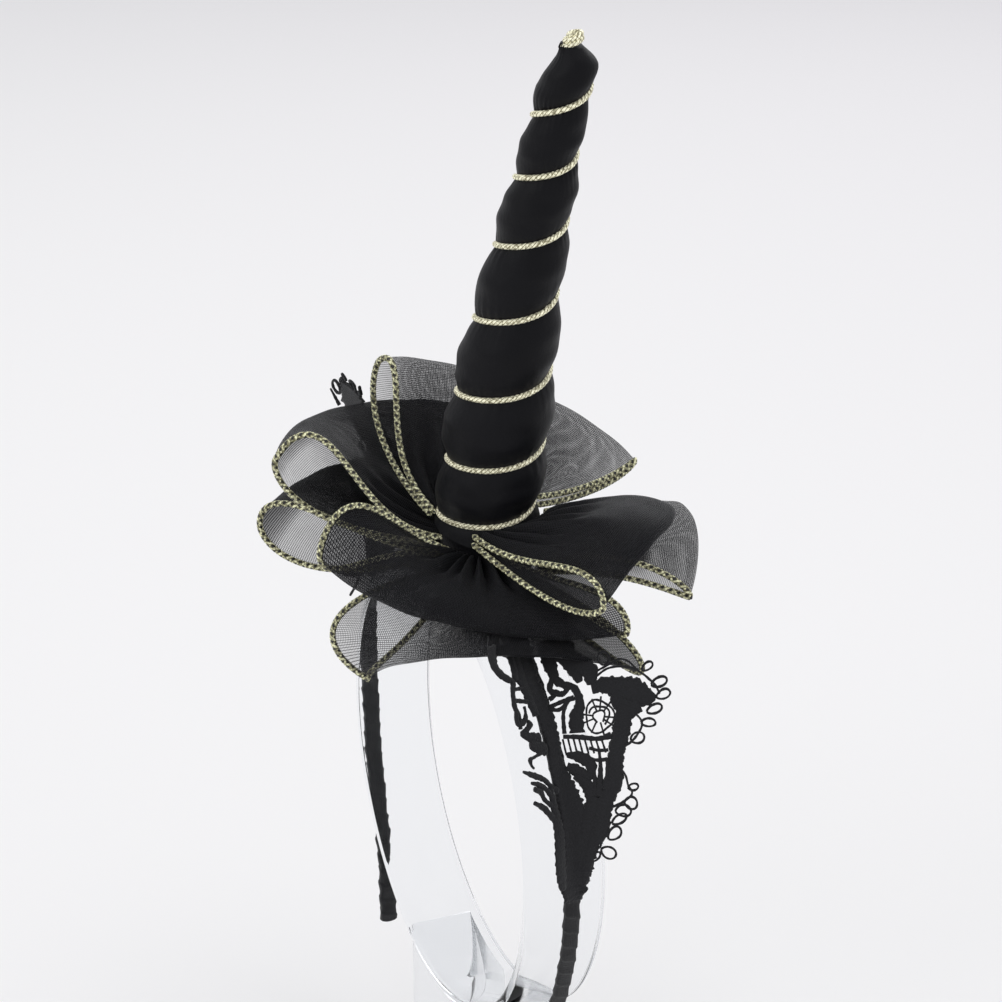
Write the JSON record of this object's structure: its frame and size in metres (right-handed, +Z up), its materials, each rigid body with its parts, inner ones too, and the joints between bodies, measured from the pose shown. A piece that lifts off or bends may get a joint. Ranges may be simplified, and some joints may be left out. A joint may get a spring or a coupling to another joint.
{
  "type": "unicorn horn headband on a clear ring stand",
  "caption": "Costume headband with a padded spiral horn wound in gold cord, sheer gold-edged ribbon loops and lace, shown on its plain clear ring stand.",
  "frame": {"origin": "middle of the underside of the stand's base, on the surface that it stands on", "axes": "X from ear to ear, with +X the near side in the picture; -Y the front of the head; +Z up"},
  "size_m": [0.1566, 0.1074, 0.334],
  "materials": {
    "clear_acrylic": "clear, polished",
    "black_wrap": "matte wound cloth tape",
    "black_felt": "matte felt",
    "black_satin": "soft sheen, padded",
    "pale_gold_cord": "metallic thread, braided",
    "gold_black_cord": "gold and black thread, twisted",
    "black_organza": "sheer weave",
    "black_lace": "matte guipure lace"
  },
  "bodies": {
    "root": {"stand_base": "clear_acrylic", "stand_post": "clear_acrylic", "stand_ring": "clear_acrylic", "headband": "black_wrap", "base_pad": "black_felt", "horn": "black_satin", "horn_cord": "pale_gold_cord", "horn_tip_wrap": "pale_gold_cord", "ribbon_loop_back_high": "black_organza", "ribbon_edge_back_high_left": "gold_black_cord", "ribbon_edge_back_high_right": "gold_black_cord", "ribbon_loop_back_low": "black_organza", "ribbon_edge_back_low_left": "gold_black_cord", "ribbon_edge_back_low_right": "gold_black_cord", "ribbon_loop_back_under": "black_organza", "ribbon_edge_back_under_left": "gold_black_cord", "ribbon_edge_back_under_right": "gold_black_cord", "ribbon_loop_front_high": "black_organza", "ribbon_edge_front_high_left": "gold_black_cord", "ribbon_edge_front_high_right": "gold_black_cord", "ribbon_loop_front_low": "black_organza", "ribbon_edge_front_low_left": "gold_black_cord", "ribbon_edge_front_low_right": "gold_black_cord", "ribbon_loop_side_low": "black_organza", "ribbon_edge_side_low_left": "gold_black_cord", "ribbon_edge_side_low_right": "gold_black_cord", "ribbon_loop_side_high": "black_organza", "ribbon_edge_side_high_left": "gold_black_cord", "ribbon_edge_side_high_right": "gold_black_cord", "lace_near": "black_lace", "lace_far": "black_lace"}
  },
  "joints": []
}
